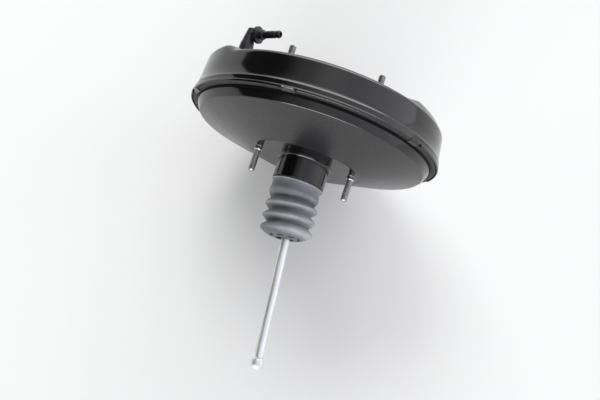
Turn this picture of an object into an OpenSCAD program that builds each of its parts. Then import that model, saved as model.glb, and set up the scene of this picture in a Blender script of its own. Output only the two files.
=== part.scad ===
// Vacuum brake booster with one diaphragm and two tie bolts that run through both shells.
// Origin at the centre of the rear mounting face. +Y points to the master cylinder, -Y to the
// pedal, X runs through the tie bolts, +Z is up. Millimetres. Profiles are written as [radius, y].

/* [Shells] */
// Radius over the crimped rim of the front shell
rim_r = 145; // [125:1:165]
// Sheet thickness of both shells
shell_t = 1.5; // [1:0.1:2]
// Rear edge of the crimped rim, measured from the mounting face
lip_y = 26.5; // [24:0.5:30]
// Width of the crimped lip
lip_h = 6; // [5:0.5:8]
// Width of the band that houses the diaphragm bead
band_h = 6.7; // [6:0.1:10]
// Inward step from the lip to the band
lip_step = 1; // [0.5:0.1:1.5]
// Inward step from the band to the drum wall
band_step = 1.6; // [1:0.1:3]
// Draft of the drum wall over its length
draft = 1; // [0:0.1:3]
// Low front face, measured from the mounting face
front_y = 71.5; // [68:0.5:85]
// Height of the raised band over the low front face
raise_h = 7.5; // [3:0.5:12]
// Half width of the raised band at its top
raise_half = 81; // [70:1:95]
// Run of the slope down from the raised band
raise_run = 24; // [12:1:30]
// Turn of the raised band against the line of the tie bolts
raise_turn = 5.5; // [0:0.5:12]
// Shoulder radius of the drum
shoulder_r = 6; // [3:0.5:9]
// Master cylinder pad, measured from the mounting face
pad_y = 95; // [92:0.5:110]
// Radius of the master cylinder pad
pad_r = 68; // [66:0.5:74]
// Run of the cone around the pad
pad_run = 24; // [12:1:30]
// Radius of the hole for the nose of the master cylinder
nose_r = 19; // [15:0.5:24]
// Length of the drawn collar inside that hole
nose_l = 8; // [5:0.5:12]
// Radius of the flat mounting face
face_r = 64.5; // [60:0.5:74]
// Distance from the rim's inner wall to the wall of the rear shell
rim_gap = 6.5; // [5:0.1:8]
// Outer corner radius of the rear shell
corner_r = 7; // [4:0.5:9]
// Radius of the neck
neck_r = 29.4; // [28.5:0.1:34]
// Length of the neck behind the mounting face
neck_l = 25.6; // [24:0.1:30]
// Fillet at the root of the neck
neck_fillet = 2.5; // [1:0.1:5]
// Crimped tabs round the rim
tab_count = 6; // [4:1:10]
// Clock angle of the first tab, from X towards Z
tab_start = 46; // [40:1:60]
// Width of a tab
tab_w = 14; // [8:0.5:20]

/* [Tie bolts] */
// Distance of each tie bolt from the axis
bolt_x = 54.3; // [53:0.1:56]
// Thread radius of the studs
stud_r = 4; // [3:0.5:5]
// Length of the studs behind the mounting face
rear_stud = 27.3; // [15:0.1:45]
// Length of the studs in front of the master cylinder pad
front_stud = 33; // [15:0.5:45]
// Radius of the bolt between the shells
bolt_r = 5.2; // [4.8:0.1:6.5]
// Radius of the bolt's clamping collars
collar_r = 9.5; // [9:0.1:10]
// Thickness of the clamping collars
collar_h = 3.5; // [3:0.1:5]

/* [Power piston] */
// Travel of the power piston, which the tail stays in its seal for
stroke = 34; // [30:0.5:36]
// Radius of the valve body's tail
tail_r = 22.5; // [20:0.1:23]
// Wall of the valve body's tail
tail_t = 4.5; // [3:0.1:5]
// Thickness of the diaphragm plate
plate_t = 1.2; // [0.8:0.1:2]
// Width of the diaphragm's fold, from the plate to the wall of the rear shell
fold_w = 19; // [17:0.5:32]
// Height of the diaphragm plate's rim
plate_rim = 10; // [6:0.5:11]
// Thickness of the diaphragm
skin_t = 2; // [1.2:0.1:2.5]
// Free space between the diaphragm and the rear shell
skin_gap = 1.5; // [1:0.1:4]
// Radius of the valve body's flange
flange_r = 36; // [34:0.5:38]
// Radius of the valve body's front boss
boss_r = 20; // [18:0.5:22]
// Radius of the reaction disc
disc_r = 14; // [11:0.5:15]
// Radius of the output rod
output_r = 6; // [4:0.1:8]
// Distance of the output rod's tip behind the pad
output_tip = 18; // [5:0.5:25]
// Radius of the return spring's coils
spring_r = 30; // [27:0.5:31]
// Wire radius of the return spring
spring_wire = 1.8; // [1.2:0.1:2.2]
// Turns of the return spring
spring_turns = 6; // [4:1:8]

/* [Input rod] */
// Ball joint in the valve plunger, measured behind the mounting face
pivot_y = 18; // [17:0.1:19]
// Length of the input rod from joint to ball
rod_l = 208.5; // [120:0.5:260]
// Radius of the input rod
rod_r = 5; // [4:0.1:5.4]
// Radius of the pedal ball
ball_r = 7.75; // [6:0.05:10]
// Tilt of the input rod at rest, as photographed
rod_tilt = 5.2; // [0:0.1:6.5]
// Travel of the valve plunger
valve_travel = 2; // [1:0.1:2.2]

/* [Dust boot] */
// Wall of the boot
boot_t = 1.8; // [1.2:0.1:2.4]
// Radius of the boot's cuff behind the neck
cuff_r = 27.8; // [27.4:0.1:29]
// Crest radius of the boot's folds
crest_r = 30; // [28.5:0.1:34]
// Root radius of the boot's folds
root_r = 24; // [23:0.1:26]
// Pitch of the boot's folds
fold_pitch = 13.4; // [11:0.1:16]
// Radius of the hole for the input rod
boot_hole_r = 7.8; // [7.4:0.1:9]
// Bend of the boot at rest
boot_bend = 5.6; // [0:0.1:7]
// Breathing slots in the boot's end
slot_count = 8; // [4:1:12]

/* [Check valve] */
// Place of the check valve along the tie bolt line
valve_x = -100; // [-104:0.5:-98]
// Place of the check valve across the tie bolt line
valve_z = 52; // [48:0.5:56]
// Radius of the check valve's chamber
chamber_r = 7.6; // [7:0.1:9]
// Height of the check valve over the raised face
valve_h = 32.5; // [31:0.5:40]
// Radius of the hose nozzle
nozzle_r = 4.05; // [3.4:0.05:4.6]
// Length of the nozzle from the valve's axis
nozzle_l = 38.6; // [30:0.1:50]
// Turn of the nozzle from X towards Z
nozzle_turn = 33; // [0:1:60]
// Rise of the nozzle
nozzle_rise = 6; // [0:0.5:15]

/* [Hidden] */
$fn = 96;
eps = 0.01;
seat_gap = 0.3;              // between soft pieces and what holds them
slide_gap = 0.05;            // running clearance of sliding pieces
lip_top = lip_y + lip_h;
band_top = lip_top + band_h;
band_r = rim_r - lip_step;
wall_r = band_r - band_step;
raised_y = front_y + raise_h;
flange_y = lip_y + 3.1;      // rear side of the rear shell's rim
rim_flange_r = rim_r - shell_t - 0.2;
rear_wall_r = rim_r - shell_t - rim_gap;
corner_c = [rear_wall_r - corner_r, flange_y - 3.1];
dish_v = corner_c - [face_r, 0];
dish_angle = atan2(dish_v[1], dish_v[0]) - asin(corner_r / norm(dish_v));
neck_in = neck_r - shell_t;
pilot_r = stud_r + 0.6;
tail_l = stroke + 10;        // length of the tail behind the mounting face
brace_t = 2;                 // reinforcing plate behind the pad
brace_y = pad_y - shell_t - brace_t;
plate_r = rear_wall_r - fold_w;
hole_r = collar_r + 2.5;     // holes in plate and diaphragm for the tie bolts
flat_r = bolt_x + hole_r + 3.2;
plate_y = shell_t + skin_gap + skin_t + (flat_r - face_r) * tan(dish_angle);
hub_y = plate_y + plate_t;   // front of the diaphragm plate at the hub
flange_t = 5.5;
seat_y = hub_y + flange_t;   // front face of the valve body's flange
boss_y = seat_y + 22;
cup_y = boss_y - 10;
bore_in = tail_r - tail_t;
stem_r = 7.5;
nose_stem_r = 5.5;
stop_y = cup_y - 3.2;        // step in front of the plunger's stem
key_t = 2.6;
key_y = stop_y - 6.2;
web_y = -5;                  // vacuum seat of the valve body, facing the pedal
air_seat_y = web_y - 0.5;    // air seat of the plunger
poppet_t = 2;
poppet_r = bore_in - 2;
poppet_end = air_seat_y - 14.5;
socket_r = 4.55;
sleeve_end = 62;
swivel_max = 7.2;            // swing of the input rod to each side
root_y = -tail_l - 2.4;      // first root of the boot, just clear of the tail
bend_y = root_y + 8.4;       // where the boot bends towards the rod
leg_top = raised_y + valve_h;
chamber_top = raised_y + 12;
nozzle_y = leg_top - 7.7;
disc_y = raised_y + 7;

// Points of an arc from angle a to angle b
function arc(c, r, a, b, n = 6) =
    [for (i = [0:n]) c + r * [cos(a + (b - a) * i / n), sin(a + (b - a) * i / n)]];
function unit(v) = v / norm(v);
function left_of(v) = [-v[1], v[0]];
// Point i of a path, moved t to the left of the path, with mitred corners
function shifted(p, i, t) =
    let (a = i > 0 ? unit(p[i] - p[i - 1]) : unit(p[1] - p[0]))
    let (b = i < len(p) - 1 ? unit(p[i + 1] - p[i]) : a)
    let (n = left_of(unit(a + b)))
    p[i] + n * t / (n * left_of(a));
// Closed outline of a sheet that follows a path and is t thick on its left
function sheet(p, t) = concat(p, [for (i = [len(p) - 1:-1:0]) shifted(p, i, t)]);

// Turns profiles of [radius, y] round the Y axis
module revolve(points) rotate([-90, 0, 0]) rotate_extrude() polygon(points);
// A cylinder along Y from y0 to y1
module rod_y(r, y0, y1) translate([0, y0, 0]) rotate([-90, 0, 0]) cylinder(r = r, h = y1 - y0);
// Places children on both tie bolts
module on_bolts() for (x = [-bolt_x, bolt_x]) translate([x, 0, 0]) children();
// A round wire wound along Y, from radius r0 at y0 to radius r1 at y1
module coil(r0, r1, y0, y1, wire, turns, steps = 22, sides = 8) {
    n = turns * steps;
    function at(i, k) =
        let (a = 360 * i / steps, f = i / n, c = 360 * k / sides, r = r0 + (r1 - r0) * f + wire * cos(c))
        [r * cos(a), y0 + (y1 - y0) * f + wire * sin(c), r * sin(a)];
    points = [for (i = [0:n], k = [0:sides - 1]) at(i, k)];
    side_faces = [for (i = [0:n - 1], k = [0:sides - 1])
        let (m = (k + 1) % sides)
        [i * sides + k, i * sides + m, (i + 1) * sides + m, (i + 1) * sides + k]];
    ends = [[for (k = [sides - 1:-1:0]) k], [for (k = [0:sides - 1]) n * sides + k]];
    polyhedron(points, concat(side_faces, ends), convexity = 8);
}

// Half outline of the drum up to a flat face at y, inset by t from the outer surface
function drum(y, t) =
    let (top_r = wall_r - draft - t, r = shoulder_r - t)
    concat([[0, lip_y - t], [rim_r - t, lip_y - t], [rim_r - t, lip_top - t / 2],
        [band_r - t, lip_top + 1 - t / 2], [band_r - t, band_top - t / 2],
        [wall_r - t, band_top + 1.6 - t / 2]],
        arc([top_r - r, y - t - r], r, 0, 90), [[0, y - t]]);
// Solid inside the front shell's surface, inset by t
module drum_solid(t) {
    intersection() {
        revolve(drum(raised_y, t));
        union() {
            revolve(drum(front_y, t));
            rotate([0, -raise_turn, 0]) rotate([0, -90, 0]) linear_extrude(4 * rim_r, center = true)
                polygon([[-raise_half - raise_run, lip_y - 2 * t], [raise_half + raise_run, lip_y - 2 * t],
                    [raise_half + raise_run, front_y - t], [raise_half, raised_y - t],
                    [raise_half, pad_y], [-raise_half, pad_y],
                    [-raise_half, raised_y - t], [-raise_half - raise_run, front_y - t]]);
        }
    }
    revolve([[0, front_y - 2 * t], [pad_r + pad_run - t, front_y - 2 * t],
        [pad_r + pad_run - t, raised_y - t], [pad_r - t / 2, pad_y - t], [0, pad_y - t]]);
}
// Notches and the recess that a crimped tab leaves in the lip
module tab_cuts() {
    for (s = [-1, 1]) translate([rim_r - 3, lip_y + 3.6, s * tab_w / 2 - 1.1]) cube([6, 2.8, 2.2]);
    translate([rim_r - 0.9, lip_y - 1, -tab_w / 2]) cube([3, 5.4, tab_w]);
}
// The tab itself, bent in behind the rear shell's flange
module tab() translate([rim_r - shell_t - 2.6, lip_y + 0.5, -tab_w / 2 + 1]) cube([3.2, 2.3, tab_w - 2]);

module front_shell() color([0.06, 0.06, 0.07]) {
    difference() {
        union() {
            difference() {
                drum_solid(0);
                drum_solid(shell_t);
            }
            rod_y(nose_r + shell_t, pad_y - nose_l, pad_y - eps);
        }
        rod_y(nose_r, pad_y - nose_l - 1, pad_y + 1);
        on_bolts() rod_y(pilot_r + 0.1, brace_y, pad_y + 1);
        translate([valve_x, 0, valve_z]) rod_y(8, raised_y - 3, raised_y + 1);
        for (i = [0:tab_count - 1]) rotate([0, -tab_start - i * 360 / tab_count, 0]) tab_cuts();
    }
    for (i = [0:tab_count - 1]) rotate([0, -tab_start - i * 360 / tab_count, 0]) tab();
}

module rear_shell() color([0.06, 0.06, 0.07]) difference() {
    revolve(sheet(concat([[neck_r, -neck_l]],
        arc([neck_r + neck_fillet, -neck_fillet], neck_fillet, 180, 90),
        [[face_r, 0]],
        arc(corner_c, corner_r, dish_angle - 90, 0),
        arc([rear_wall_r + 1, flange_y - 1], 1, 180, 90, 4),
        [[rim_flange_r, flange_y]]), shell_t));
    on_bolts() rod_y(pilot_r + 0.1, -1, shell_t + 1);
}

// A tie bolt on the Y axis: studs, pilots that centre it in the shells, and two collars
module tie_bolt() {
    recess = pilot_r + 2.6;
    revolve([[0, -rear_stud], [stud_r - 0.8, -rear_stud], [stud_r, -rear_stud + 0.8], [stud_r, 0],
        [pilot_r, 0.4], [pilot_r, shell_t + 1.8], [recess, shell_t + 1.8], [recess, shell_t],
        [collar_r, shell_t], [collar_r, shell_t + collar_h], [bolt_r, shell_t + collar_h],
        [bolt_r, brace_y - collar_h], [collar_r, brace_y - collar_h], [collar_r, brace_y],
        [recess, brace_y], [recess, brace_y - 1.8], [pilot_r, brace_y - 1.8], [pilot_r, pad_y - 0.4],
        [stud_r, pad_y], [stud_r, pad_y + front_stud - 0.8], [stud_r - 0.8, pad_y + front_stud],
        [0, pad_y + front_stud]]);
}
module tie_bolt_left() color([0.62, 0.62, 0.64]) translate([-bolt_x, 0, 0]) tie_bolt();
module tie_bolt_right() color([0.62, 0.62, 0.64]) translate([bolt_x, 0, 0]) tie_bolt();
module tie_bolt_seals() color([0.1, 0.1, 0.1]) on_bolts()
    for (y = [shell_t, brace_y - 1.7]) difference() {
        rod_y(pilot_r + 2.4, y, y + 1.7);
        rod_y(pilot_r + 0.1, y - 1, y + 3);
    }

module reinforcing_plate() color([0.5, 0.5, 0.52]) difference() {
    rod_y(pad_r - 3, brace_y, brace_y + brace_t);
    rod_y(nose_r + shell_t + 0.5, brace_y - 1, pad_y);
    on_bolts() rod_y(pilot_r + 0.1, brace_y - 1, pad_y);
}

module neck_bearing() color([0.85, 0.84, 0.8]) revolve([[tail_r + slide_gap, -15.5], [neck_in - 0.1, -15.5],
    [neck_in - 0.1, -8], [tail_r + slide_gap, -8]]);
module neck_seal() color([0.12, 0.12, 0.12]) revolve([[tail_r + 1.6, -7.9], [neck_in - 0.1, -7.9],
    [neck_in - 0.1, -0.5], [neck_in - 1.6, -0.5], [neck_in - 1.6, -5.6], [tail_r + 2.2, -5.6],
    [tail_r + 1.2, -1], [tail_r + 0.3, -1], [tail_r + 0.3, -2.6]]);

// Folds of the boot along its own axis, measured from the bend
module boot_folds() {
    first = bend_y - root_y + fold_pitch / 2;
    end_y = -first - 2 * fold_pitch - 9;
    function crest(k) = arc([crest_r - 2.2, -first - k * fold_pitch], 2.2, 60, -60, 5);
    path = concat([[root_r, -7.2], [root_r, root_y - bend_y - 1]], crest(0),
        [[root_r, -first - 0.5 * fold_pitch]], crest(1), [[root_r, -first - 1.5 * fold_pitch]],
        arc([crest_r - 4.2, -first - 2 * fold_pitch], 3.2, 70, -45, 5),
        [[crest_r - 9, end_y + 0.8], [boot_hole_r, end_y]]);
    difference() {
        revolve(sheet(path, -boot_t));
        for (i = [0:slot_count - 1]) rotate([0, (i + 0.5) * 360 / slot_count, 0])
            translate([boot_hole_r + 3, end_y - 3, -1.1]) cube([6.5, 7, 2.2]);
    }
}
module dust_boot() color([0.42, 0.42, 0.45]) {
    lip = -neck_l - seat_gap;
    spigot = [neck_in - seat_gap, -neck_l + 7.5];
    cuff = sheet([[cuff_r, lip], [cuff_r, lip - 6], [cuff_r + 0.6, lip - 10], [cuff_r, root_y + 7],
        [root_r, root_y], [root_r, root_y - 3.4]], -boot_t);
    revolve(cuff);
    revolve([spigot, [spigot[0], lip], [neck_r - 0.6, lip], [neck_r - 0.6, lip - 2.2],
        [cuff_r - 0.1, lip - 2.6], [cuff_r - boot_t, lip - 2.6], [cuff_r - boot_t, lip],
        [spigot[0] - 1.9, lip], [spigot[0] - 1.9, spigot[1]]]);
    translate([0, bend_y, 0]) rotate([0, 0, boot_bend]) boot_folds();
}

// Places children with their Y axis along the nozzle, from the valve's axis
module on_nozzle() translate([valve_x, nozzle_y, valve_z]) rotate([0, -nozzle_turn, 0])
    rotate([0, 0, nozzle_rise - 90]) children();
module check_valve_body() color([0.07, 0.07, 0.08]) difference() {
    union() {
        translate([valve_x, 0, valve_z]) revolve([[0, raised_y - 5], [5.2, raised_y - 5],
            [6.4, raised_y - 3.8], [6.4, raised_y - 2.4], [5.6, raised_y - 1.9], [5.6, raised_y + 2.2],
            [chamber_r + 2, raised_y + 2.2], [chamber_r + 2, raised_y + 4],
            [chamber_r, raised_y + 4.6], [chamber_r, chamber_top],
            [4.6, leg_top - 1], [3.8, leg_top], [0, leg_top]]);
        on_nozzle() {
            revolve([[0, -2], [nozzle_r + 0.9, -2], [nozzle_r + 0.9, 8], [9.4, 8.6], [9.4, 11.6], [6, 12.2],
                [nozzle_r, 12.8], [nozzle_r, 15], [5.6, 15.4], [5.6, 17], [nozzle_r, 17.6],
                [nozzle_r, nozzle_l - 6.5], [nozzle_r - 0.5, nozzle_l - 5.8], [nozzle_r - 0.5, nozzle_l - 4.4],
                [nozzle_r, nozzle_l - 3.6], [nozzle_r, nozzle_l - 1.2], [nozzle_r - 0.8, nozzle_l],
                [0, nozzle_l]]);
        }
    }
    translate([valve_x, 0, valve_z]) {
        rod_y(2.5, raised_y - 6, disc_y + 1);
        rod_y(5, disc_y, chamber_top + 5);
        rod_y(2.2, chamber_top, leg_top - 4);
    }
    on_nozzle() rod_y(2.4, 0, nozzle_l + 1);
}
module check_valve_grommet() color([0.1, 0.1, 0.1]) translate([valve_x, 0, valve_z])
    revolve([[6.5, raised_y - shell_t - 2.6], [9.4, raised_y - shell_t - 2.6],
        [10, raised_y - shell_t - 0.1], [7.9, raised_y - shell_t - 0.1], [7.9, raised_y + 0.1],
        [10.5, raised_y + 0.1], [10.5, raised_y + 2.1], [5.7, raised_y + 2.1],
        [5.7, raised_y - shell_t - 0.1], [6.5, raised_y - shell_t - 0.7]]);
module check_valve_disc() color([0.12, 0.12, 0.12]) translate([valve_x, 0, valve_z])
    revolve([[0, disc_y + 0.05], [4.2, disc_y + 0.05], [4.2, disc_y + 1.8], [1.6, disc_y + 1.8],
        [1.6, disc_y + 3.4], [0, disc_y + 3.4]]);
module check_valve_spring() color([0.7, 0.7, 0.7]) translate([valve_x, 0, valve_z])
    coil(3.2, 3.2, disc_y + 2.3, chamber_top + 4.6, 0.35, 4, 14, 6);

// Rear side of the diaphragm plate's sheet, moved back by d
function plate_path(d) =
    let (k = tan(dish_angle), edge = plate_r + d)
    [[tail_r + 0.2, plate_y - d], [flat_r, plate_y - d], [edge - 3, plate_y - d + k * (edge - 3 - flat_r)],
        [edge, plate_y - d + k * (edge - 3 - flat_r) + 2.5]];
plate_top = plate_path(0)[3][1] + plate_rim;
module diaphragm_plate() color([0.75, 0.7, 0.5]) difference() {
    revolve(sheet(concat(plate_path(0), [[plate_r, plate_top]]), plate_t));
    on_bolts() rod_y(hole_r, 0, 30);
}
module diaphragm() color([0.13, 0.13, 0.13]) {
    d = skin_t + 0.1;
    bead_r = band_r - shell_t - seat_gap;
    leg_r = rear_wall_r - shell_t - 3.5;
    roll = (leg_r - plate_r - d) / 2;
    difference() {
        revolve(sheet(concat(plate_path(d), [[plate_r + d, plate_top + 0.6]],
            arc([plate_r + d + roll, plate_top + 0.8], roll, 180, 0, 10),
            [[leg_r, flange_y + shell_t + 1]]), skin_t));
        on_bolts() rod_y(hole_r + 0.5, 0, 30);
    }
    revolve([[leg_r, flange_y + shell_t + seat_gap], [bead_r, flange_y + shell_t + seat_gap],
        [bead_r, band_top - 1.2], [bead_r - 4.5, band_top - 1.2], [bead_r - 4.5, flange_y + shell_t + 2.3],
        [leg_r, flange_y + shell_t + 2.3]]);
}
// Folding sleeve that seals the diaphragm plate to a tie bolt
module tie_bolt_sleeve() {
    folds = 7;
    y0 = hub_y + 2.4;
    pitch = (sleeve_end - 6 - y0) / folds;
    path = concat([[hole_r - 0.3, plate_y], [hole_r - 0.3, y0]],
        [for (k = [0:folds - 1], s = [0.25, 0.75])
            [s < 0.5 ? bolt_r + 4.8 : bolt_r + 1.8, y0 + (k + s) * pitch]],
        [[bolt_r + 1.8, sleeve_end - 5], [bolt_r + 1.4, sleeve_end]]);
    revolve(sheet(path, 1));
    difference() {
        rod_y(hole_r + 2.6, hub_y + 0.1, y0);
        rod_y(hole_r - 1, 0, y0 + 1);
    }
}
module tie_bolt_sleeve_left() color([0.13, 0.13, 0.13]) translate([-bolt_x, 0, 0]) tie_bolt_sleeve();
module tie_bolt_sleeve_right() color([0.13, 0.13, 0.13]) translate([bolt_x, 0, 0]) tie_bolt_sleeve();

module valve_body() color([0.2, 0.17, 0.15]) difference() {
    revolve([[bore_in, -tail_l], [tail_r, -tail_l], [tail_r, hub_y], [flange_r, hub_y], [flange_r, seat_y],
        [boss_r + 4, seat_y], [boss_r, seat_y + 4], [boss_r, boss_y], [disc_r + 0.1, boss_y],
        [disc_r + 0.1, cup_y], [nose_stem_r + 0.2, cup_y], [nose_stem_r + 0.2, stop_y],
        [stem_r + slide_gap, stop_y], [stem_r + slide_gap, 0.2], [11, 0.2], [11, web_y + 0.8],
        [12, web_y], [13.6, web_y], [14.4, web_y + 1.5], [bore_in, web_y + 1.5]]);
    // vacuum passages to the front chamber
    for (a = [0, 180]) rotate([0, a, 0]) translate([disc_r + 0.8, 0, -4]) {
        translate([0, web_y - 1, 0]) cube([2.8, seat_y + 9 - web_y, 8]);
        translate([0, seat_y + 2, 0]) cube([12, 6, 8]);
    }
    // slot of the retaining key
    translate([-6.5, key_y - 0.1, 0]) cube([13, key_t + 0.2, boss_r + 1]);
}
module retaining_key() color([0.7, 0.7, 0.72]) difference() {
    translate([-6, key_y, -3]) cube([12, key_t, boss_r + 2]);
    translate([-5.2, key_y - 1, -4]) cube([10.4, key_t + 2, 9.2]);
    rod_y(5.2, key_y - 1, key_y + key_t + 1);
}
module reaction_disc() color([0.15, 0.15, 0.15]) rod_y(disc_r, cup_y + 0.05, cup_y + 4);
module output_rod() color([0.72, 0.7, 0.62]) {
    tip = pad_y - output_tip;
    revolve([[0, cup_y + 4.05], [disc_r, cup_y + 4.05], [disc_r, boss_y - 0.9],
        [output_r + 2, boss_y - 0.9], [output_r, boss_y + 2], [output_r, tip - 9], [4, tip - 8],
        [4, tip - 3], [2.5, tip - 0.6], [0, tip]]);
}
module output_rod_retainer() color([0.7, 0.7, 0.72]) revolve([[output_r + 4, boss_y],
    [boss_r + 0.05, boss_y], [boss_r + 0.05, boss_y - 7], [boss_r + 1, boss_y - 7],
    [boss_r + 1, boss_y + 1], [output_r + 4, boss_y + 1]]);
module return_spring() color([0.55, 0.55, 0.58])
    coil(spring_r, spring_r, seat_y + spring_wire + 0.1, brace_y - spring_wire - 0.1,
        spring_wire, spring_turns);

module air_filter() color([0.45, 0.42, 0.36]) difference() {
    rod_y(bore_in - seat_gap, -tail_l + 2, -tail_l + 9);
    rod_y(rod_r + 0.6 + (tail_l - pivot_y) * tan(swivel_max), -tail_l, -tail_l + 10);
}
module poppet_valve() color([0.12, 0.12, 0.12]) revolve([[stem_r - 0.4, air_seat_y - poppet_t - 0.1],
    [poppet_r - 1.4, air_seat_y - poppet_t - 0.1], [poppet_r - 2.6, air_seat_y - 8],
    [poppet_r, poppet_end + 1], [poppet_r, poppet_end], [bore_in - seat_gap, poppet_end],
    [bore_in - seat_gap, poppet_end + 3],
    [poppet_r + 0.4, poppet_end + 3], [poppet_r - 1.2, air_seat_y - 7.6], [poppet_r, air_seat_y - 0.1],
    [stem_r - 0.4, air_seat_y - 0.1]]);
module poppet_retainer() color([0.7, 0.7, 0.72]) revolve([[9.2, poppet_end - 1.2],
    [bore_in - 0.1, poppet_end - 1.2], [bore_in - 0.1, poppet_end - 0.2], [9.2, poppet_end - 0.2]]);
module poppet_spring() color([0.7, 0.7, 0.72])
    coil(10.2, 10.2, poppet_end + 0.7, air_seat_y - poppet_t - 0.8, 0.6, 3, 16, 6);

module valve_plunger() color([0.78, 0.78, 0.8]) difference() {
    revolve([[0, -pivot_y - 5], [socket_r + 1.7, -pivot_y - 5], [socket_r + 1.7, air_seat_y],
        [10, air_seat_y], [10, -3], [stem_r, -2.4], [stem_r, key_y - valve_travel - 0.3],
        [5, key_y - valve_travel - 0.3], [5, key_y + key_t + 0.3], [stem_r, key_y + key_t + 0.3],
        [stem_r, stop_y - valve_travel - 0.1], [nose_stem_r, stop_y - valve_travel - 0.1],
        [nose_stem_r, cup_y - valve_travel - 0.1], [0, cup_y - valve_travel - 0.1]]);
    translate([0, -pivot_y, 0]) {
        sphere(r = socket_r);
        revolve([[0, -8], [4.9, -8], [3.6, 0], [0, 0]]);
    }
}
module rod_return_spring() color([0.7, 0.7, 0.72])
    coil(12, 10.5, -29.2, poppet_end - 2.1, 0.7, 3, 16, 6);
// Places children on the input rod, with its joint at the origin and -Y towards the ball
module on_rod() translate([0, -pivot_y, 0]) rotate([0, 0, rod_tilt]) children();
module rod_spring_seat() color([0.7, 0.7, 0.72]) on_rod()
    revolve([[rod_r + slide_gap, -14.6], [13, -14.6], [13, -13.6], [rod_r + slide_gap, -13.6]]);
module input_rod() color([0.78, 0.8, 0.82]) on_rod() {
    sphere(r = socket_r - slide_gap);
    revolve([[0, 0], [3.2, 0], [3.2, -9.4], [rod_r, -11.4], [rod_r, -rod_l + ball_r + 4],
        [rod_r - 0.5, -rod_l + ball_r + 2], [rod_r - 0.5, -rod_l], [0, -rod_l]]);
    translate([0, -rod_l, 0]) sphere(r = ball_r);
}

front_shell();
rear_shell();
tie_bolt_left();
tie_bolt_right();
tie_bolt_seals();
reinforcing_plate();
neck_bearing();
neck_seal();
dust_boot();
check_valve_body();
check_valve_grommet();
check_valve_disc();
check_valve_spring();
diaphragm();
diaphragm_plate();
tie_bolt_sleeve_left();
tie_bolt_sleeve_right();
valve_body();
retaining_key();
reaction_disc();
output_rod();
output_rod_retainer();
return_spring();
air_filter();
poppet_valve();
poppet_retainer();
poppet_spring();
valve_plunger();
rod_return_spring();
rod_spring_seat();
input_rod();
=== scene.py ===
import math

import bmesh
import bpy
from mathutils import Matrix, Vector


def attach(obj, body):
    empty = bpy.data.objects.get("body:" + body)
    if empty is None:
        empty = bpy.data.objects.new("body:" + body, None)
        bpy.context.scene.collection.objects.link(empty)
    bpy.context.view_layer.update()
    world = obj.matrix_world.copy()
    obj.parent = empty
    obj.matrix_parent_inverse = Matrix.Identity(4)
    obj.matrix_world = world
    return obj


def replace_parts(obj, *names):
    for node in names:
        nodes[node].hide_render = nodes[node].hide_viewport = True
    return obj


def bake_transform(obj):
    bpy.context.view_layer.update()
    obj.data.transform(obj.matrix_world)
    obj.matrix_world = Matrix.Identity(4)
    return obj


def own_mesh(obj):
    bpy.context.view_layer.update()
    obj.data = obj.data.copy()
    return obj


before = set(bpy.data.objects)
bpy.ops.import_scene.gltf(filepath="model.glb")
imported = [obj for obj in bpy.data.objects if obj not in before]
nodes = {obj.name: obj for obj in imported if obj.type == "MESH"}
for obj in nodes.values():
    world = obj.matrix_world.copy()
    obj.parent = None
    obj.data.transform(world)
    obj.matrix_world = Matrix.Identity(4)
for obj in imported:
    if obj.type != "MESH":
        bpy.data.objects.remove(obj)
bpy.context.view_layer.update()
scene = bpy.context.scene
MM = 0.001

# Drum shells: two deep-drawn steel sheets under glossy black electrophoretic paint.
# The paint is nearly without colour of its own, so it lives from what it mirrors. It carries a
# faint orange peel, and the press leaves a very slow waviness in the flat stretches.


def new_material(name, colour, roughness, metallic=0.0):
    """A material with its Principled shader, and a Texture Coordinate node for its patterns."""
    material = bpy.data.materials.new(name)
    material.use_nodes = True
    shader = material.node_tree.nodes["Principled BSDF"]
    shader.inputs["Base Color"].default_value = (*colour, 1)
    shader.inputs["Roughness"].default_value = roughness
    shader.inputs["Metallic"].default_value = metallic
    material.node_tree.nodes.new("ShaderNodeTexCoord")
    return material, shader


def noise(material, scale, detail=3.0, stretch=(1, 1, 1)):
    """Noise on Object coordinates, stretched along an axis where its factor is below 1."""
    tree = material.node_tree
    mapping = tree.nodes.new("ShaderNodeMapping")
    mapping.inputs["Scale"].default_value = stretch
    texture = tree.nodes.new("ShaderNodeTexNoise")
    texture.inputs["Scale"].default_value = scale
    texture.inputs["Detail"].default_value = detail
    tree.links.new(tree.nodes["Texture Coordinate"].outputs["Object"], mapping.inputs["Vector"])
    tree.links.new(mapping.outputs["Vector"], texture.inputs["Vector"])
    return texture.outputs["Fac"]


def vary(material, value, socket, low, high):
    """Drives a socket of the shader between two levels by a pattern."""
    tree = material.node_tree
    ranged = tree.nodes.new("ShaderNodeMapRange")
    ranged.inputs["From Min"].default_value = 0.3
    ranged.inputs["From Max"].default_value = 0.7
    ranged.inputs["To Min"].default_value = low
    ranged.inputs["To Max"].default_value = high
    tree.links.new(value, ranged.inputs["Value"])
    tree.links.new(ranged.outputs["Result"], tree.nodes["Principled BSDF"].inputs[socket])


def tint(material, value, dark, light):
    """Mixes the colour between two tones by a pattern."""
    tree = material.node_tree
    ramp = tree.nodes.new("ShaderNodeValToRGB")
    ramp.color_ramp.elements[0].position = 0.3
    ramp.color_ramp.elements[0].color = (*dark, 1)
    ramp.color_ramp.elements[1].position = 0.7
    ramp.color_ramp.elements[1].color = (*light, 1)
    tree.links.new(value, ramp.inputs["Fac"])
    tree.links.new(ramp.outputs["Color"], tree.nodes["Principled BSDF"].inputs["Base Color"])
    return ramp.color_ramp.elements


def bump(material, value, height):
    """Raises the surface by a pattern, by a height in metres."""
    tree = material.node_tree
    node = tree.nodes.new("ShaderNodeBump")
    node.inputs["Strength"].default_value = 1.0
    node.inputs["Distance"].default_value = height
    tree.links.new(value, node.inputs["Height"])
    tree.links.new(node.outputs["Normal"], tree.nodes["Principled BSDF"].inputs["Normal"])


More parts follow.
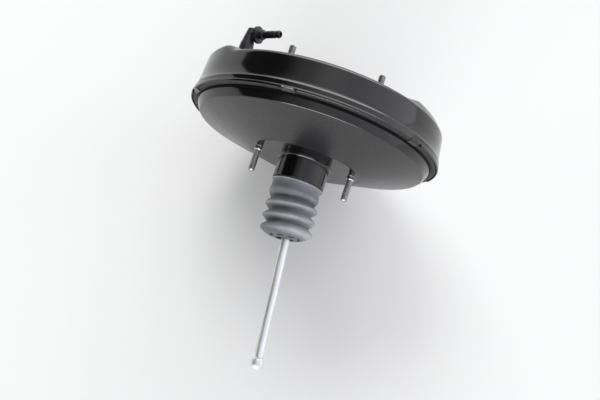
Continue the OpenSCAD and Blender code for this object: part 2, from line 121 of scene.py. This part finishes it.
def finish_mesh(name, bm, material, smooth_angle=35):
    """Turns a bmesh into a linked object with outward normals and the material."""
    bmesh.ops.remove_doubles(bm, verts=bm.verts, dist=1e-7)
    bmesh.ops.recalc_face_normals(bm, faces=bm.faces)
    mesh = bpy.data.meshes.new(name)
    bm.to_mesh(mesh)
    bm.free()
    mesh.materials.append(material)
    piece = bpy.data.objects.new(name, mesh)
    scene.collection.objects.link(piece)
    mesh.shade_smooth()
    mesh.set_sharp_from_angle(angle=math.radians(smooth_angle))
    return piece


def lathe(bm, outline, steps=64, closed=False):
    """Spins an outline of (radius, y) in millimetres round the Y axis. Returns the new faces."""
    verts = [bm.verts.new((r * MM, y * MM, 0)) for r, y in outline]
    edges = [bm.edges.new(pair) for pair in zip(verts, verts[1:])]
    if closed:
        edges.append(bm.edges.new((verts[-1], verts[0])))
    before = set(bm.faces)
    bmesh.ops.spin(bm, geom=verts + edges, cent=(0, 0, 0), axis=(0, 1, 0), dvec=(0, 0, 0),
                   angle=math.tau, steps=steps, use_merge=True)
    bmesh.ops.remove_doubles(bm, verts=bm.verts, dist=1e-7)
    return [face for face in bm.faces if face not in before]


def bow(r, y, radius, start, stop, steps=6):
    """Points of an arc round (r, y), from one angle to another in degrees."""
    angles = [math.radians(start + (stop - start) * i / steps) for i in range(steps + 1)]
    return [(r + radius * math.cos(a), y + radius * math.sin(a)) for a in angles]


def ease(value):
    """A soft step from 0 to 1."""
    value = min(1.0, max(0.0, value))
    return value * value * (3 - 2 * value)


paint, paint_shader = new_material("black_paint", (0.004, 0.004, 0.0045), 0.11)
paint_shader.inputs["IOR"].default_value = 1.55
tint(paint, noise(paint, 40), (0.0034, 0.0034, 0.0038), (0.0052, 0.0052, 0.0058))
vary(paint, noise(paint, 25), "Roughness", 0.09, 0.14)
bump(paint, noise(paint, 450, 1.0), 0.000003)

# Front shell: the deep drum with the crimped rim. Its flat front carries a raised band along the
# line of the tie bolts, and the cone of the master cylinder pad. Six tabs are lanced in the rim
# and bent in behind the rear shell.
SHEET = 1.5
DRUM_R = 142.2
LOW_Y = 71.5
RAISE = 7.5
BAND_HALF = 81.0
BAND_RUN = 18.0
BAND_TURN = math.radians(5.5)
PAD_Y = 95.0
PAD_R = 68.0
CONE_RUN = 24.0
NOSE_R = 19.0


def raised(x, z):
    """How far the press lifts the front at a place, from 0 to 1."""
    across = abs(z * math.cos(BAND_TURN) - x * math.sin(BAND_TURN))
    lift = ease((BAND_HALF + BAND_RUN - across) / BAND_RUN)
    if x > 0:
        lift *= ease((138.5 - math.hypot(x, z)) / 9)
    return lift


def press_front(bm):
    """Lifts the flat rings of the front to the band and the pad, and lets the wall follow."""
    for vert in bm.verts:
        x, y, z = vert.co / MM
        radius = math.hypot(x, z)
        if y < 52 or radius < NOSE_R + 2.6:
            continue
        lift = RAISE * raised(x, z)
        if y > LOW_Y - SHEET - 0.1 and radius < 132:
            inset = SHEET if y < LOW_Y - 0.7 else 0
            cone = LOW_Y + (PAD_R + CONE_RUN - radius) * (PAD_Y - LOW_Y) / CONE_RUN
            overlap = max(0.0, 4 - abs(cone - LOW_Y - lift))
            height = min(PAD_Y, max(LOW_Y + lift, cone) + overlap * overlap / 16)
            vert.co.y = (height - inset) * MM
        else:
            vert.co.y = (y + lift * min(1.0, (y - 52) / 13)) * MM


TAB_CLOCKS = [46 + 60 * k for k in range(6)]
TAB_COLUMNS = {3: 7.0, 4: 7.15, 5: 9.6, 6: 9.75}


def lance_tabs(bm):
    """Cuts two notches beside each tab, presses the tab in and bends its edge under the dish's rim."""
    for vert in bm.verts:
        x, y, z = vert.co / MM
        radius = math.hypot(x, z)
        if y > 33.3 or radius < 142:
            continue
        for clock in TAB_CLOCKS:
            arc = (math.degrees(math.atan2(z, x)) - clock + 180) % 360 - 180
            column = abs(round(arc))
            if column > 6:
                continue
            angle = math.radians(clock) + math.copysign(TAB_COLUMNS.get(column, abs(arc) * 2.53) / 145, arc)
            if column in (4, 5):
                y = max(y, 33.0 + 0.1 * (y - 30.8))
            elif column < 4:
                radius -= 1.9 * ease((33.4 - y) / 1.6)
                if y < 31.15 and radius < 142.0:
                    radius, y = 138.3, 29.8
                elif y < 31.65 and radius < 141.8:
                    radius, y = 138.4, 31.2
            vert.co = Vector((radius * math.cos(angle), y, radius * math.sin(angle))) * MM


def drum_outline(inset):
    """The drum's outer surface from the rim to the nose, or its inner surface inset from it."""
    wall = [(DRUM_R - inset, 41.8), (DRUM_R - 0.9 - inset, 52), (DRUM_R - 2.0 - inset, 64.5)]
    shoulder = bow(DRUM_R - 8.2, 65.5 - inset + min(inset, 0.3), 6 - inset + min(inset, 0.3), 5, 90, 8)
    flat = [(radius, LOW_Y - inset) for radius in
            [130 - 2.5 * i for i in range(25)] + [PAD_R + 1.2, PAD_R - 0.5, PAD_R - 2, 50, 30]]
    return wall + shoulder + flat + [(NOSE_R + 1.5 + (1 if inset else 0), PAD_Y - inset)]


front = bmesh.new()
lathe(front, [(143.5, 31.6), (143.6, 31.1), (143.8, 30.8), (144.0, 30.8)] + bow(143.7, 32.1, 1.3, -70, 0, 5)
      + [(145, 32.7)] + bow(144.2, 32.8, 0.8, 10, 50, 3) + [(143.9, 34.0), (143.75, 34.6), (143.75, 38.4)]
      + bow(143.0, 38.8, 0.8, 5, 48, 3) + drum_outline(0)
      + [(NOSE_R + 0.6, PAD_Y - 0.5), (NOSE_R, PAD_Y - 1.6), (NOSE_R, PAD_Y - 8), (NOSE_R + 1.5, PAD_Y - 8)]
      + drum_outline(SHEET)[::-1]
      + [(142.25, 38.5), (142.25, 34.0), (143.5, 33.6)], 360, closed=True)
press_front(front)
lance_tabs(front)
drum_front = finish_mesh("drum_front", front, paint, 60)
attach(drum_front, "housing")
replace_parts(drum_front, "front_shell")

# Rear shell: one sheet with the dish, the flat face that bolts to the bulkhead, and the drawn
# neck that guides the valve body. Its rim lies inside the crimp of the front shell.
FACE_R = 64.5
NECK_R = 29.4
EDGE_R = 131.0
EDGE_Y = 20.3
WALL_R = 136.0
DISH = math.degrees(math.atan2(EDGE_Y, EDGE_R - FACE_R))
BEVEL = math.degrees(math.atan2(7.4, WALL_R - EDGE_R))

rear = bmesh.new()
lathe(rear, [(NECK_R - 0.3, -25.6), (NECK_R, -25.2)] + bow(NECK_R + 2.5, -2.5, 2.5, 180, 90, 6)
      + [(40, 0), (52, 0)] + bow(FACE_R - 1.2, 8, 8, -90, DISH - 90, 4)
      + [(FACE_R + 12, 12 * math.tan(math.radians(DISH))), (100, 35.5 * math.tan(math.radians(DISH)))]
      + bow(EDGE_R - 1.55, EDGE_Y + 2.1, 2.5, DISH - 90, BEVEL - 90, 6)
      + bow(WALL_R - 3, 28.5, 3, BEVEL - 90, 0, 3)
      + bow(WALL_R + 1, 30.9, 1, 180, 90, 4) + [(142.6, 31.9), (142.9, 32.2), (142.9, 33.1), (142.6, 33.4)]
      + bow(WALL_R + 0.6, 31.8, 1.6, 90, 165, 3) + [(WALL_R - 1.5, 28.6)]
      + [(EDGE_R - 0.6, EDGE_Y + 1.6), (EDGE_R - 2, EDGE_Y + 0.9), (100, 37 * math.tan(math.radians(DISH)) + 0.9),
         (FACE_R - 1, SHEET), (NECK_R + 2, SHEET)] + bow(NECK_R + 2.5, -2.5, 4, 95, 175, 6)
      + [(NECK_R - 1.5, -25.4), (NECK_R - 1.2, -25.6)], 360, closed=True)
for vert in rear.verts:
    radius = math.hypot(vert.co.x, vert.co.z)
    clock = math.degrees(math.atan2(vert.co.z, vert.co.x))
    if radius > 142.5 * MM and min(abs((clock - mid + 180) % 360 - 180) for mid in TAB_CLOCKS) < 4.3:
        vert.co.x *= 140.4 * MM / radius
        vert.co.z *= 140.4 * MM / radius
dish_paint = paint.copy()
dish_paint.name = "black_paint_dish"
satin = dish_paint.node_tree.nodes["Map Range"]
satin.inputs["To Min"].default_value = 0.24
satin.inputs["To Max"].default_value = 0.3
# Faces on the dish take a more satin paint. Faces at the top of the rear wall, inside the crimp, take a dull paint
# that stands in for shade.
for face in rear.faces:
    middle = face.calc_center_median() / MM
    reach = math.hypot(middle.x, middle.z)
    if middle.y < 22 and 62 < reach < 127:
        face.material_index = 1
    elif middle.y > 27.9 and reach > 135:
        face.material_index = 2
drum_rear = finish_mesh("drum_rear", rear, paint, 60)
drum_rear.data.materials.append(dish_paint)
# The top of the rear wall inside the crimp gets a dull paint with a weak reflection: painted shade, so that the gap
# under the lip of the front shell reads black.
painted_gap_shade = dish_paint.copy()
painted_gap_shade.name = "black_paint_gap_shade"
gap_shade_roughness = painted_gap_shade.node_tree.nodes["Map Range"]
gap_shade_roughness.inputs["To Min"].default_value = 0.7
gap_shade_roughness.inputs["To Max"].default_value = 0.8
painted_gap_shade.node_tree.nodes["Principled BSDF"].inputs["Specular IOR Level"].default_value = 0.15
drum_rear.data.materials.append(painted_gap_shade)
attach(drum_rear, "housing")
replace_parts(drum_rear, "rear_shell")

# Tie bolts: two long bolts that clamp the drum between the bulkhead and the master cylinder.
# Turned steel with rolled M8 threads at both ends, dull zinc plated. The threads are modelled as
# a real helix wound on each stud's core, and fade into the chamfers at the tips.


def wind(bm, section, turns, pitch, steps):
    """Winds a closed section of (radius, y) in millimetres round the Y axis and caps its ends."""
    verts = [bm.verts.new((r * MM, y * MM, 0)) for r, y in section]
    edges = [bm.edges.new((verts[i - 1], verts[i])) for i in range(len(verts))]
    total = round(turns * steps)
    spun = bmesh.ops.spin(bm, geom=verts + edges, cent=(0, 0, 0), axis=(0, 1, 0),
                          dvec=(0, pitch * MM / steps, 0), angle=math.tau * total / steps, steps=total)
    last = [item for item in spun["geom_last"] if isinstance(item, bmesh.types.BMVert)]
    bm.faces.new(verts)
    bm.faces.new(last)


stud_steel, stud_shader = new_material("stud_steel", (0.42, 0.41, 0.43), 0.42, 1.0)
tint(stud_steel, noise(stud_steel, 300), (0.3, 0.295, 0.31), (0.5, 0.49, 0.51))
vary(stud_steel, noise(stud_steel, 120), "Roughness", 0.34, 0.5)
steel_tree = stud_steel.node_tree
# A narrow band at the bead just below the mounting face is painted near white: a painted highlight ring where light
# catches the start of the thread.
along = steel_tree.nodes.new("ShaderNodeSeparateXYZ")
steel_tree.links.new(steel_tree.nodes["Texture Coordinate"].outputs["Object"], along.inputs["Vector"])
ring_highlight_band = steel_tree.nodes.new("ShaderNodeMath")
ring_highlight_band.operation = "COMPARE"
ring_highlight_band.inputs[1].default_value = -0.0016
ring_highlight_band.inputs[2].default_value = 0.0009
steel_tree.links.new(along.outputs["Y"], ring_highlight_band.inputs[0])
bright = steel_tree.nodes.new("ShaderNodeMix")
bright.data_type = "RGBA"
bright.inputs["B"].default_value = (0.8, 0.8, 0.8, 1)
steel_tree.links.new(ring_highlight_band.outputs["Value"], bright.inputs["Factor"])
steel_tree.links.new(steel_tree.nodes["Color Ramp"].outputs["Color"], bright.inputs["A"])
steel_tree.links.new(bright.outputs["Result"], steel_tree.nodes["Principled BSDF"].inputs["Base Color"])

STUD_R = 4.0
THREAD_ROOT = 3.4
THREAD_PITCH = 1.25
REAR_TIP = -27.3
FRONT_TIP = 128.0
BRACE_Y = 91.5


def stud_thread(bm, low, high):
    """A thread between two heights, which shrinks into the core at the chamfered tip."""
    before = set(bm.verts)
    turns = (high - low) / THREAD_PITCH - 1
    half = THREAD_PITCH * 0.46
    wind(bm, [(THREAD_ROOT - 0.3, low), (STUD_R, low + half), (THREAD_ROOT - 0.3, low + 2 * half)],
         turns, THREAD_PITCH, 24)
    for vert in set(bm.verts) - before:
        y = vert.co.y / MM
        room = min(y - REAR_TIP, FRONT_TIP - y) + 3.1
        radius = math.hypot(vert.co.x, vert.co.z) / MM
        if radius > room:
            vert.co.x *= room / radius
            vert.co.z *= room / radius


def tie_bolt(name, x):
    """The whole bolt on one side, moved out to its place."""
    bm = bmesh.new()
    lathe(bm, [(0, REAR_TIP), (2.7, REAR_TIP), (THREAD_ROOT, REAR_TIP + 0.7), (THREAD_ROOT, -3.6),
               (STUD_R, -3.2)] + bow(STUD_R - 0.2, -1.6, 0.8, -75, 75, 5) + [(STUD_R, -0.8), (STUD_R, 0), (4.6, 0.4), (4.6, 3.3), (7.2, 3.3), (7.2, 1.5), (9.5, 1.5),
               (9.5, 5), (5.2, 5), (5.2, BRACE_Y - 3.5), (9.5, BRACE_Y - 3.5), (9.5, BRACE_Y),
               (7.2, BRACE_Y), (7.2, BRACE_Y - 1.8), (4.6, BRACE_Y - 1.8), (4.6, PAD_Y - 0.4),
               (STUD_R, PAD_Y), (STUD_R, PAD_Y + 1.2), (THREAD_ROOT, PAD_Y + 1.6),
               (THREAD_ROOT, FRONT_TIP - 0.7), (2.7, FRONT_TIP), (0, FRONT_TIP)], 48)
    stud_thread(bm, REAR_TIP, -3.4)
    stud_thread(bm, PAD_Y + 1.2, FRONT_TIP)
    bmesh.ops.translate(bm, verts=bm.verts, vec=(x * MM, 0, 0))
    bolt = finish_mesh(name, bm, stud_steel)
    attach(bolt, "housing")
    return bolt


BOLT_X = 54.3
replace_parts(tie_bolt("through_bolt_left", -BOLT_X), "tie_bolt_left")
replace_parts(tie_bolt("through_bolt_right", BOLT_X), "tie_bolt_right")

# Bellows boot: moulded grey rubber that keeps dirt out of the neck. Its lip grips the neck, and
# its end wall holds the input rod, with slots that let air through to the filter.
rubber, rubber_shader = new_material("boot_rubber", (0.25, 0.255, 0.272), 0.5)
tree = rubber.node_tree
# The colour follows the distance from the axis: darker in the grooves and lighter on the crests, which is painted
# shade; a noise on top adds a random mottle.
flat = tree.nodes.new("ShaderNodeVectorMath")
flat.operation = "MULTIPLY"
flat.inputs[1].default_value = (1, 0, 1)
tree.links.new(tree.nodes["Texture Coordinate"].outputs["Object"], flat.inputs[0])
reach = tree.nodes.new("ShaderNodeVectorMath")
reach.operation = "LENGTH"
tree.links.new(flat.outputs["Vector"], reach.inputs[0])
painted_groove_shade = tree.nodes.new("ShaderNodeMapRange")
painted_groove_shade.inputs["From Min"].default_value = 0.0225
painted_groove_shade.inputs["From Max"].default_value = 0.03
painted_groove_shade.inputs["To Min"].default_value = 0.2
painted_groove_shade.inputs["To Max"].default_value = 0.68
tree.links.new(reach.outputs["Value"], painted_groove_shade.inputs["Value"])
groove_shade_and_mottle = tree.nodes.new("ShaderNodeMath")
groove_shade_and_mottle.operation = "MULTIPLY_ADD"
groove_shade_and_mottle.inputs[1].default_value = 0.3
tree.links.new(noise(rubber, 90, 5.0), groove_shade_and_mottle.inputs[0])
tree.links.new(painted_groove_shade.outputs["Result"], groove_shade_and_mottle.inputs[2])
tint(rubber, groove_shade_and_mottle.outputs["Value"], (0.06, 0.063, 0.068), (0.2, 0.208, 0.222)).new(0.85).color = (0.3, 0.31, 0.33, 1)
vary(rubber, noise(rubber, 60), "Roughness", 0.42, 0.58)
bump(rubber, noise(rubber, 1400, 2.0), 0.00002)

BOOT_TOP = -26.4
BOOT_BEND_Y = -38.0
BOOT_BEND = math.radians(5.6)
ROOT_R = 24.0
CREST_R = 30.0
FOLD = 13.4
CREST_1 = -53.1
BOOT_SPLIT = CREST_1 - 1.5 * FOLD
BOOT_WALL = 1.8


def fold(y, r=CREST_R, nose=1.7):
    """The rounded crest of a fold at a height, from the neck side to the rod side."""
    return [(r - nose + nose * math.cos(math.radians(a)), y + nose * math.sin(math.radians(a)))
            for a in (65, 35, 0, -35, -65)]


def root(y, width=1.2):
    """The rounded bottom of a groove."""
    return [(ROOT_R + 0.5, y + width), (ROOT_R, y + 0.4), (ROOT_R, y - 0.4), (ROOT_R + 0.5, y - width)]


def bend_boot(bm):
    """Bends the straight boot towards the sagging rod, tilting each ring a little."""
    for vert in bm.verts:
        below = max(0.0, BOOT_BEND_Y - vert.co.y / MM)
        angle = BOOT_BEND * ease(below / 14)
        x = vert.co.x
        vert.co.x = x * math.cos(angle) + below * MM * math.tan(angle)
        vert.co.y += x * math.sin(angle)


lip = bmesh.new()
lathe(lip, [(27.6, -18), (27.6, BOOT_TOP - 0.1), (28.9, BOOT_TOP - 0.1)] + bow(28.9, BOOT_TOP - 0.85, 0.75, 70, -70, 4)
      + [(28.4, BOOT_TOP - 1.8), (26.2, BOOT_TOP - 1.8), (25.8, -18)], 96, closed=True)
boot_lip = finish_mesh("boot_lip", lip, rubber)
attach(boot_lip, "housing")
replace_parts(boot_lip, "dust_boot")

folds = bmesh.new()
lathe(folds, [(28.0, BOOT_TOP - 1.6), (28.0, BOOT_TOP - 2.6), (27.7, BOOT_TOP - 3.2), (27.5, BOOT_TOP - 6), (27.8, BOOT_TOP - 10),
              (28.5, BOOT_TOP - 12), (28.4, BOOT_TOP - 14.5), (26.2, BOOT_TOP - 18.6)]
      + root(CREST_1 + FOLD / 2) + fold(CREST_1) + root(CREST_1 - FOLD / 2)
      + fold(CREST_1 - FOLD) + root(BOOT_SPLIT)[:2] + [(ROOT_R, BOOT_SPLIT)], 96)
bmesh.ops.recalc_face_normals(folds, faces=folds.faces)
bmesh.ops.solidify(folds, geom=list(folds.faces), thickness=BOOT_WALL * MM)
bend_boot(folds)
boot_folds = finish_mesh("boot_folds", folds, rubber, 60)
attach(boot_folds, "housing")
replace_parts(boot_folds, "dust_boot")
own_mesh(boot_folds)

END_Y = -88.9
end = bmesh.new()
end_faces = lathe(end, [(ROOT_R - 2, BOOT_SPLIT + 2.5), (ROOT_R - 2, BOOT_SPLIT + 0.2), (ROOT_R, BOOT_SPLIT - 0.4),
                        (ROOT_R + 0.5, BOOT_SPLIT - 1.2)] + fold(CREST_1 - 2 * FOLD, 29.4, 2.6)
                  + [(24.5, END_Y + 4.0), (18.2, END_Y + 1.4), (15.2, END_Y + 0.8), (12, END_Y + 0.2),
                     (11.2, END_Y), (10.2, END_Y)], 96)
slots = []
for face in end_faces:
    middle = face.calc_center_median() / MM
    clock = math.degrees(math.atan2(middle.z, middle.x)) % 45
    if 15.2 < math.hypot(middle.x, middle.z) < 18.2 and middle.y < END_Y + 3 and 10 < clock < 35:
        slots.append(face)
bmesh.ops.delete(end, geom=slots, context="FACES")
bmesh.ops.recalc_face_normals(end, faces=end.faces)
bmesh.ops.solidify(end, geom=list(end.faces), thickness=BOOT_WALL * MM)
bend_boot(end)
boot_end = finish_mesh("boot_end", end, rubber, 60)
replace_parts(boot_end, "dust_boot")
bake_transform(boot_end)

# Input rod: one turned steel bar with the pedal ball, bright zinc plated with a blue cast.
# Drawing the bar leaves fine streaks along its length.


def dress(node, material):
    """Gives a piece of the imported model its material."""
    mesh = nodes[node].data
    mesh.materials.clear()
    mesh.materials.append(material)


zinc, zinc_shader = new_material("bright_zinc", (0.72, 0.76, 0.78), 0.24, 1.0)
tint(zinc, noise(zinc, 500, 2.0, (1, 0.03, 1)), (0.62, 0.66, 0.68), (0.8, 0.84, 0.86))
vary(zinc, noise(zinc, 200, 2.0, (1, 0.05, 1)), "Roughness", 0.26, 0.4)
dress("input_rod", zinc)
zinc_shader.inputs["Metallic"].default_value = 0.65

# Check valve: a black moulded elbow that holds the vacuum in the drum, pressed into a rubber
# grommet. The moulding is glass-filled nylon, slightly mottled and satin.
nylon, nylon_shader = new_material("black_nylon", (0.012, 0.012, 0.014), 0.38)
tint(nylon, noise(nylon, 350, 4.0), (0.008, 0.008, 0.009), (0.018, 0.018, 0.021))
vary(nylon, noise(nylon, 200), "Roughness", 0.3, 0.46)
dress("check_valve_body", nylon)

# Small rubber pieces: grommet, seals, sleeves, diaphragm, poppet and discs, matt black.
black_rubber, black_rubber_shader = new_material("black_rubber", (0.02, 0.02, 0.02), 0.7)
tint(black_rubber, noise(black_rubber, 200, 4.0), (0.015, 0.015, 0.015), (0.03, 0.03, 0.03))
for node in ("check_valve_grommet", "check_valve_disc", "tie_bolt_seals", "neck_seal",
             "reaction_disc", "poppet_valve"):
    dress(node, black_rubber)

# Diaphragm: one moulded rubber skin that lies behind the plate. Its bead is clamped in the rim of
# the drum, and a fold lies between rim and plate.
skin = bmesh.new()
skin.from_mesh(nodes["diaphragm"].data)
skin.transform(nodes["diaphragm"].matrix_world)
rubber_skin = finish_mesh("rubber_skin", skin, black_rubber, 40)
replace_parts(rubber_skin, "diaphragm")
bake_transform(rubber_skin)

# Tie bolt sleeves: thin moulded rubber bellows that seal the diaphragm plate to the two bolts. A
# thick bead snaps into the plate, and the other end grips the bolt.
SLEEVE_Y = 10.2
SLEEVE_END = 62.0


def bolt_sleeve(name, x):
    """One sleeve, moved out to its bolt."""
    bm = bmesh.new()
    pitch = (SLEEVE_END - 6 - SLEEVE_Y) / 7
    zigzag = [(BOLT_SLEEVE_R + side, SLEEVE_Y + (k + part) * pitch)
              for k in range(7) for side, part in ((2.8, 0.18), (3.0, 0.25), (2.8, 0.32), (0.2, 0.68), (0, 0.75), (0.2, 0.82))]
    lathe(bm, [(11.7, 6.6), (11.7, SLEEVE_Y)] + zigzag
          + [(BOLT_SLEEVE_R, SLEEVE_END - 5), (6.6, SLEEVE_END)], 40)
    bmesh.ops.recalc_face_normals(bm, faces=bm.faces)
    bmesh.ops.solidify(bm, geom=list(bm.faces), thickness=0.9 * MM)
    lathe(bm, [(11.2, 7.9), (14.4, 7.9), (14.6, 8.1), (14.6, SLEEVE_Y - 0.2), (14.4, SLEEVE_Y), (11.2, SLEEVE_Y)],
          40, closed=True)
    bmesh.ops.translate(bm, verts=bm.verts, vec=(x * MM, 0, 0))
    sleeve = finish_mesh(name, bm, black_rubber, 60)
    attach(sleeve, "power_piston")
    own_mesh(sleeve)
    return sleeve


BOLT_SLEEVE_R = 7.0
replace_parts(bolt_sleeve("bellows_sleeve_left", -BOLT_X), "tie_bolt_sleeve_left")
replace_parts(bolt_sleeve("bellows_sleeve_right", BOLT_X), "tie_bolt_sleeve_right")

# Plated inner parts: plates and the output rod are yellow passivated, small turned and pressed
# parts are bright zinc.
passivated, passivated_shader = new_material("yellow_zinc", (0.6, 0.52, 0.3), 0.35, 1.0)
tint(passivated, noise(passivated, 60, 4.0), (0.5, 0.46, 0.3), (0.68, 0.56, 0.3))
for node in ("reinforcing_plate", "diaphragm_plate", "output_rod"):
    dress(node, passivated)
for node in ("retaining_key", "output_rod_retainer", "poppet_retainer", "poppet_spring",
             "valve_plunger", "rod_spring_seat"):
    dress(node, zinc)

# Hub and guides: the valve body is a thermoset moulding, the neck bearing white nylon, the
# filter open foam, the return spring phosphated wire.
thermoset, thermoset_shader = new_material("thermoset", (0.08, 0.065, 0.055), 0.5)
tint(thermoset, noise(thermoset, 150, 5.0), (0.06, 0.05, 0.042), (0.1, 0.082, 0.07))
dress("valve_body", thermoset)
white_nylon, white_nylon_shader = new_material("white_nylon", (0.75, 0.73, 0.68), 0.4)
tint(white_nylon, noise(white_nylon, 100), (0.7, 0.68, 0.62), (0.78, 0.76, 0.72))
dress("neck_bearing", white_nylon)
foam, foam_shader = new_material("filter_foam", (0.2, 0.19, 0.16), 0.9)
tint(foam, noise(foam, 900, 2.0), (0.08, 0.075, 0.06), (0.28, 0.26, 0.22))
dress("air_filter", foam)
phosphated, phosphated_shader = new_material("spring_steel", (0.3, 0.3, 0.32), 0.45, 1.0)
tint(phosphated, noise(phosphated, 250), (0.22, 0.22, 0.24), (0.38, 0.38, 0.4))


# Coil springs: the large return spring of phosphated wire, the small rod spring and the check
# valve's spring of plated wire. Each is wound from round wire.


def coil(name, radius, low, high, wire, turns, material):
    """A spring wound between two heights of its wire's centre."""
    bm = bmesh.new()
    ring = [(radius + wire * math.cos(math.tau * k / 12), low + wire * math.sin(math.tau * k / 12))
            for k in range(12)]
    wind(bm, ring, turns, (high - low) / turns, 32)
    spring = finish_mesh(name, bm, material)
    return spring


return_coil = coil("return_coil", 30.0, 15.2, 89.6, 1.8, 6, phosphated)
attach(return_coil, "power_piston")
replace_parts(return_coil, "return_spring")
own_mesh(return_coil)

rod_coil = coil("rod_coil", 12.0, -29.1, -22.1, 0.7, 3, zinc)
for vert in rod_coil.data.vertices:
    taper = 1 - 0.125 * (vert.co.y / MM + 29.1) / 7
    vert.co.x *= taper
    vert.co.z *= taper
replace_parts(rod_coil, "rod_return_spring")
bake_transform(rod_coil)

valve_coil = coil("valve_coil", 3.2, 88.3, 95.6, 0.35, 4, zinc)
valve_coil.data.transform(Matrix.Translation((-0.1, 0, 0.052)))
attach(valve_coil, "check_disc")
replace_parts(valve_coil, "check_valve_spring")
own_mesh(valve_coil)

# Studio: a white floor, a large soft key from the top of the picture and a small low lamp that draws
# the thin lines on the edges. The walls of the room are white on the right and black on the left,
# which is what the drum's wall mirrors.
FLOOR_Z = -0.15
bpy.ops.mesh.primitive_grid_add(x_subdivisions=2, y_subdivisions=2, size=16, location=(0, 0, FLOOR_Z))
floor = bpy.context.object
floor.name = "floor"
floor_material, floor_shader = new_material("floor", (0.8, 0.81, 0.805), 0.7)
tint(floor_material, noise(floor_material, 3, 2.0), (0.718, 0.73, 0.716), (0.728, 0.74, 0.726))
floor.data.materials.append(floor_material)


def soft_light(name, direction, distance, size, power):
    """An area light that faces the drum from a direction."""
    light = bpy.data.lights.new(name, "AREA")
    light.shape = "RECTANGLE"
    light.size, light.size_y = size
    light.energy = power
    lamp = bpy.data.objects.new(name, light)
    scene.collection.objects.link(lamp)
    lamp.location = Vector(direction).normalized() * distance
    lamp.rotation_mode = "QUATERNION"
    lamp.rotation_quaternion = Vector(direction).to_track_quat("Z", "Y")
    return lamp


key = soft_light("key", (-0.4, 0.6, 0.68), 7.0, (3.6, 2.6), 265)
key.visible_glossy = False
soft_light("edge_lamp", (-0.35, -0.88, 0.3), 2.2, (0.4, 0.4), 4)

world = bpy.data.worlds.new("studio")
scene.world = world
world.use_nodes = True
room = world.node_tree
heading = room.nodes.new("ShaderNodeTexCoord")
split = room.nodes.new("ShaderNodeSeparateXYZ")
room.links.new(heading.outputs["Generated"], split.inputs["Vector"])


def room_ramp(axis, tones):
    """Grey tones along one axis of the room, from -1 to 1."""
    along = room.nodes.new("ShaderNodeMapRange")
    along.inputs["From Min"].default_value = -1.0
    room.links.new(split.outputs[axis], along.inputs["Value"])
    ramp = room.nodes.new("ShaderNodeValToRGB")
    ramp.color_ramp.interpolation = "EASE"
    places = ramp.color_ramp.elements
    while len(places) < len(tones):
        places.new(0.5)
    for place, (position, tone) in zip(places, tones):
        place.position = (position + 1) / 2
        place.color = (*tone, 1)
    room.links.new(along.outputs["Result"], ramp.inputs["Fac"])
    return ramp.outputs["Color"]


sides = room_ramp("X", ((-0.66, (0.004, 0.004, 0.004)), (-0.36, (0.22, 0.215, 0.21)), (-0.03, (0.46, 0.45, 0.44)),
                        (0.32, (0.43, 0.42, 0.47)), (0.7, (0.56, 0.545, 0.6)), (0.92, (0.7, 0.7, 0.72))))
depths = room_ramp("Y", ((-0.3, (0.22, 0.22, 0.22)), (0.05, (0.22, 0.22, 0.22)), (0.2, (0.28, 0.28, 0.28)),
                         (0.6, (0.28, 0.28, 0.28)), (1.0, (0.15, 0.15, 0.15))))
ends = room_ramp("Y", ((-0.96, (1.0, 1.0, 1.0)), (-0.88, (0, 0, 0)), (0.74, (0, 0, 0)), (0.94, (0.5, 0.5, 0.5))))


def mix_tones(kind, first, second):
    """Multiplies or adds two colours of the room."""
    node = room.nodes.new("ShaderNodeMix")
    node.data_type = "RGBA"
    node.blend_type = kind
    node.inputs["Factor"].default_value = 1.0
    room.links.new(first, node.inputs["A"])
    room.links.new(second, node.inputs["B"])
    return node.outputs["Result"]


room_tone = mix_tones("ADD", mix_tones("MULTIPLY", sides, depths), ends)
room.links.new(room_tone, room.nodes["Background"].inputs["Color"])
backdrop = room.nodes.new("ShaderNodeBackground")
backdrop.inputs["Color"].default_value = (0.87, 0.88, 0.87, 1)
seen = room.nodes.new("ShaderNodeLightPath")
choice = room.nodes.new("ShaderNodeMixShader")
room.links.new(seen.outputs["Is Camera Ray"], choice.inputs["Fac"])
room.links.new(room.nodes["Background"].outputs["Background"], choice.inputs[1])
room.links.new(backdrop.outputs["Background"], choice.inputs[2])
room.links.new(choice.outputs["Shader"], room.nodes["World Output"].inputs["Surface"])
room.nodes["Background"].inputs["Strength"].default_value = 8.4

# Camera: where the photographer stood, almost straight above the drum lying on its side.
CAMERA_AT = Vector((-0.00859, -0.24306, 0.97086))
CAMERA_RIGHT = Vector((0.94889, 0.30538, 0.07963))
CAMERA_BACK = Vector((-0.01678, -0.20314, 0.97901))
camera_data = bpy.data.cameras.new("camera")
camera_data.sensor_width = 36
camera_data.lens = 53.43
camera_data.clip_start = 0.01
camera = bpy.data.objects.new("camera", camera_data)
scene.collection.objects.link(camera)
turn = Matrix((CAMERA_RIGHT, CAMERA_BACK.cross(CAMERA_RIGHT), CAMERA_BACK)).transposed()
camera.matrix_world = Matrix.Translation(CAMERA_AT) @ turn.to_4x4()
scene.camera = camera
scene.view_settings.view_transform = "Standard"
